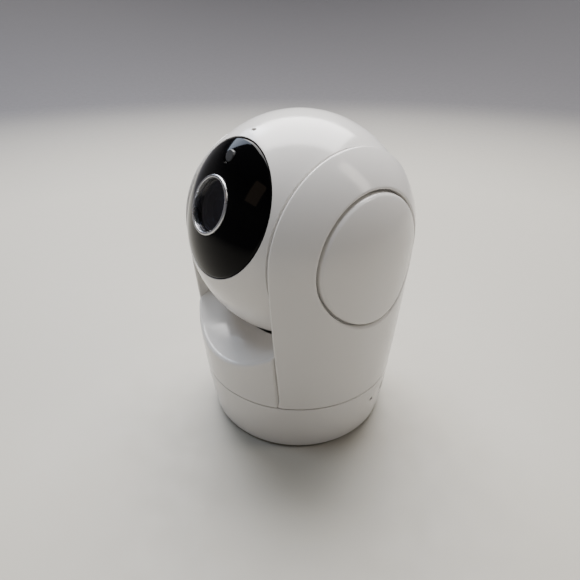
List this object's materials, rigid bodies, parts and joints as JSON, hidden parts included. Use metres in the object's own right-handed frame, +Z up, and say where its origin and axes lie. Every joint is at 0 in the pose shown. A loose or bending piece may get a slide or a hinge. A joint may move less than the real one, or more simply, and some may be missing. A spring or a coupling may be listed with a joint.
{
  "type": "baby monitor camera",
  "caption": "Free-standing monitor camera: a round fixed base, a two-armed yoke that turns on it, and a ball head with a black face and lens that tilts between the arms.",
  "frame": {"origin": "middle of the footprint, on the surface that the camera stands on", "axes": "+Z up, along the pan axis; -Y is where the lens looks; +X is the camera's left side as it looks out, the side with the tilt motor"},
  "size_m": [0.0848, 0.083, 0.1193],
  "materials": {
    "white_abs": "gloss white moulded ABS",
    "grey_abs": "plain grey moulded ABS",
    "black_gloss": "high gloss smoked black acrylic",
    "black_plastic": "satin black moulded plastic",
    "chrome": "bright plated ring",
    "steel": "zinc plated steel",
    "lens_glass": "coated dark glass",
    "rubber": "matt rubber",
    "acetal": "natural acetal",
    "board": "green solder mask",
    "led_epoxy": "dark clear epoxy",
    "speaker_cone": "black pulp cone"
  },
  "bodies": {
    "base": {"base_shell": "white_abs", "base_plate": "white_abs", "base_deck": "grey_abs", "foot_pad_1": "rubber", "foot_pad_2": "rubber", "foot_pad_3": "rubber", "foot_pad_4": "rubber", "base_screw_1": "steel", "base_screw_2": "steel", "base_screw_3": "steel", "base_board": "board", "power_jack": "black_plastic", "reset_switch": "black_plastic", "pan_motor": "steel", "pan_retainer": "steel"},
    "pan_pinion": {"pan_pinion": "acetal"},
    "pair_button": {"pair_button": "grey_abs"},
    "yoke": {"turntable": "grey_abs", "arm_right": "white_abs", "arm_left": "white_abs", "pivot_cap_right": "white_abs", "pivot_cap_left": "white_abs", "axle_bush_right": "acetal", "axle_bush_left": "acetal", "front_cover": "white_abs", "rear_cover": "white_abs", "speaker": "speaker_cone", "tilt_motor": "steel", "driver_board": "board", "antenna_board": "board", "arm_screw_1": "steel", "arm_screw_2": "steel", "arm_screw_3": "steel", "arm_screw_4": "steel"},
    "tilt_pinion": {"tilt_pinion": "acetal"},
    "head": {"head_front_shell": "white_abs", "head_rear_shell": "white_abs", "face_plate": "black_gloss", "lens_ring": "chrome", "lens_window": "lens_glass", "lens_barrel": "black_plastic", "lens_glass": "lens_glass", "light_sensor": "lens_glass", "led_board": "board", "ir_led_1": "led_epoxy", "ir_led_2": "led_epoxy", "ir_led_3": "led_epoxy", "ir_led_4": "led_epoxy", "ir_led_5": "led_epoxy", "ir_led_6": "led_epoxy", "ir_led_7": "led_epoxy", "ir_led_8": "led_epoxy", "main_board": "board", "microphone": "steel", "tilt_axle_right": "grey_abs", "tilt_axle_left": "grey_abs", "tilt_gear": "acetal"}
  },
  "joints": [
    {"name": "pan", "type": "hinge", "parent": "base", "child": "yoke", "pos_m": [0, 0, 0.0227], "axis": [0, 0, 1], "range_deg": [-199, 71]},
    {"name": "pan_drive", "type": "hinge", "parent": "base", "child": "pan_pinion", "pos_m": [0, -0.018, 0.0219], "axis": [0, 0, 1], "range_deg": [-800, 288]},
    {"name": "tilt", "type": "hinge", "parent": "yoke", "child": "head", "pos_m": [0, 0, 0.0784], "axis": [-1, 0, 0], "range_deg": [-53.6, 66.4]},
    {"name": "tilt_drive", "type": "hinge", "parent": "yoke", "child": "tilt_pinion", "pos_m": [0.0295, 0, 0.0589], "axis": [-1, 0, 0], "range_deg": [-152, 123]},
    {"name": "pair_press", "type": "slide", "parent": "base", "child": "pair_button", "axis": [0, 0, 1], "range_m": [0, 0.0008], "stiffness_N_per_m": 400}
  ],
  "couplings": [
    {"joint": "pan_drive", "follows": "pan", "ratio": 4},
    {"joint": "tilt_drive", "follows": "tilt", "ratio": -2.25}
  ]
}
